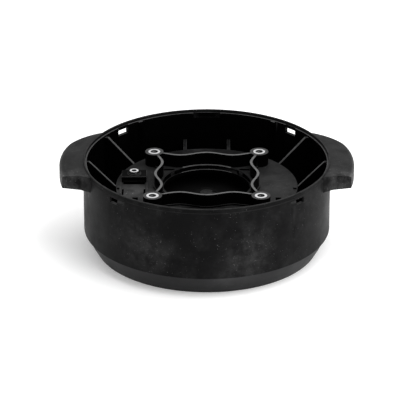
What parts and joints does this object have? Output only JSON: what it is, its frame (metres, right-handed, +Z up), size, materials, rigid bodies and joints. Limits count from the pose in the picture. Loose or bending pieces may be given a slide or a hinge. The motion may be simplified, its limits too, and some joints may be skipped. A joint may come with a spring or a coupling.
{
  "type": "kitchen garbage disposal lower drive housing",
  "caption": "Round pan housing of a kitchen food-waste disposer with grip ears, a bolted turret over the drive bore and a flat motor under its deck.",
  "frame": {"origin": "centre of the flat base, on the surface that the housing stands on", "axes": "+Z up along the drive axis, +X towards the right-hand grip ear, -Y towards the front, where the cord channel opens"},
  "size_m": [0.262, 0.22, 0.084],
  "materials": {
    "housing_plastic": "satin moulded",
    "clamp_plastic": "satin moulded",
    "cover_plastic": "satin moulded",
    "bushing_plastic": "smooth",
    "insert_steel": "bright nickel",
    "screw_steel": "zinc plated",
    "ground_paint": "gloss paint",
    "seal_rubber": "matt",
    "rim_rubber": "matt",
    "terminal_plastic": "moulded nylon",
    "board_laminate": "solder mask",
    "capacitor_sleeve": "shrink sleeve",
    "module_epoxy": "moulded epoxy",
    "switch_phenolic": "moulded phenolic",
    "cast_aluminium": "die cast",
    "black_casting": "black coat",
    "electrical_steel": "laminated",
    "bobbin_nylon": "moulded nylon",
    "enamelled_copper": "enamelled wire",
    "bearing_steel": "ground",
    "spring_steel": "drawn wire",
    "shaft_steel": "ground",
    "magnet_ferrite": "sintered",
    "hub_steel": "machined",
    "reset_red": "gloss moulded"
  },
  "bodies": {
    "housing": {"housing_shell": "housing_plastic", "grip_ears": "housing_plastic", "trench_floor": "housing_plastic", "motor_deck": "housing_plastic", "trench_ribs": "housing_plastic", "rim_seal": "rim_rubber", "cord_clamp": "clamp_plastic", "bottom_cover": "cover_plastic", "conduit_bushing": "bushing_plastic", "mount_inserts": "insert_steel", "clamp_screw": "insert_steel", "cover_screws": "screw_steel", "board_screws": "screw_steel", "through_bolts": "screw_steel", "through_bolt_nuts": "screw_steel", "motor_screws": "screw_steel", "terminal_screws": "screw_steel", "ground_screw": "ground_paint", "cover_gasket": "seal_rubber", "motor_isolators": "seal_rubber", "shaft_seal": "seal_rubber", "terminal_block": "terminal_plastic", "control_board": "board_laminate", "filter_capacitors": "capacitor_sleeve", "power_module": "module_epoxy", "overload_switch": "switch_phenolic", "lower_end_bell": "cast_aluminium", "upper_end_bell": "black_casting", "stator_core": "electrical_steel", "coil_bobbins": "bobbin_nylon", "stator_windings": "enamelled_copper", "lower_bearing_outer": "bearing_steel", "upper_bearing_outer": "bearing_steel", "reset_spring": "spring_steel"},
    "rotor": {"rotor_shaft": "shaft_steel", "rotor_core": "electrical_steel", "rotor_magnets": "magnet_ferrite", "rotor_end_plates": "cast_aluminium", "lower_bearing_inner": "bearing_steel", "upper_bearing_inner": "bearing_steel", "lower_bearing_balls": "bearing_steel", "upper_bearing_balls": "bearing_steel", "drive_hub": "hub_steel", "hub_key": "shaft_steel"},
    "reset_button": {"reset_button": "reset_red"}
  },
  "joints": [
    {"name": "rotor_spin", "type": "hinge", "parent": "housing", "child": "rotor", "pos_m": [0, 0, 0.025], "axis": [0, 0, 1], "continuous": true},
    {"name": "reset_press", "type": "slide", "parent": "housing", "child": "reset_button", "axis": [0, 0, 1], "range_m": [0, 0.002], "stiffness_N_per_m": 600, "springref_m": -0.001, "deforming": ["reset_spring"]}
  ]
}
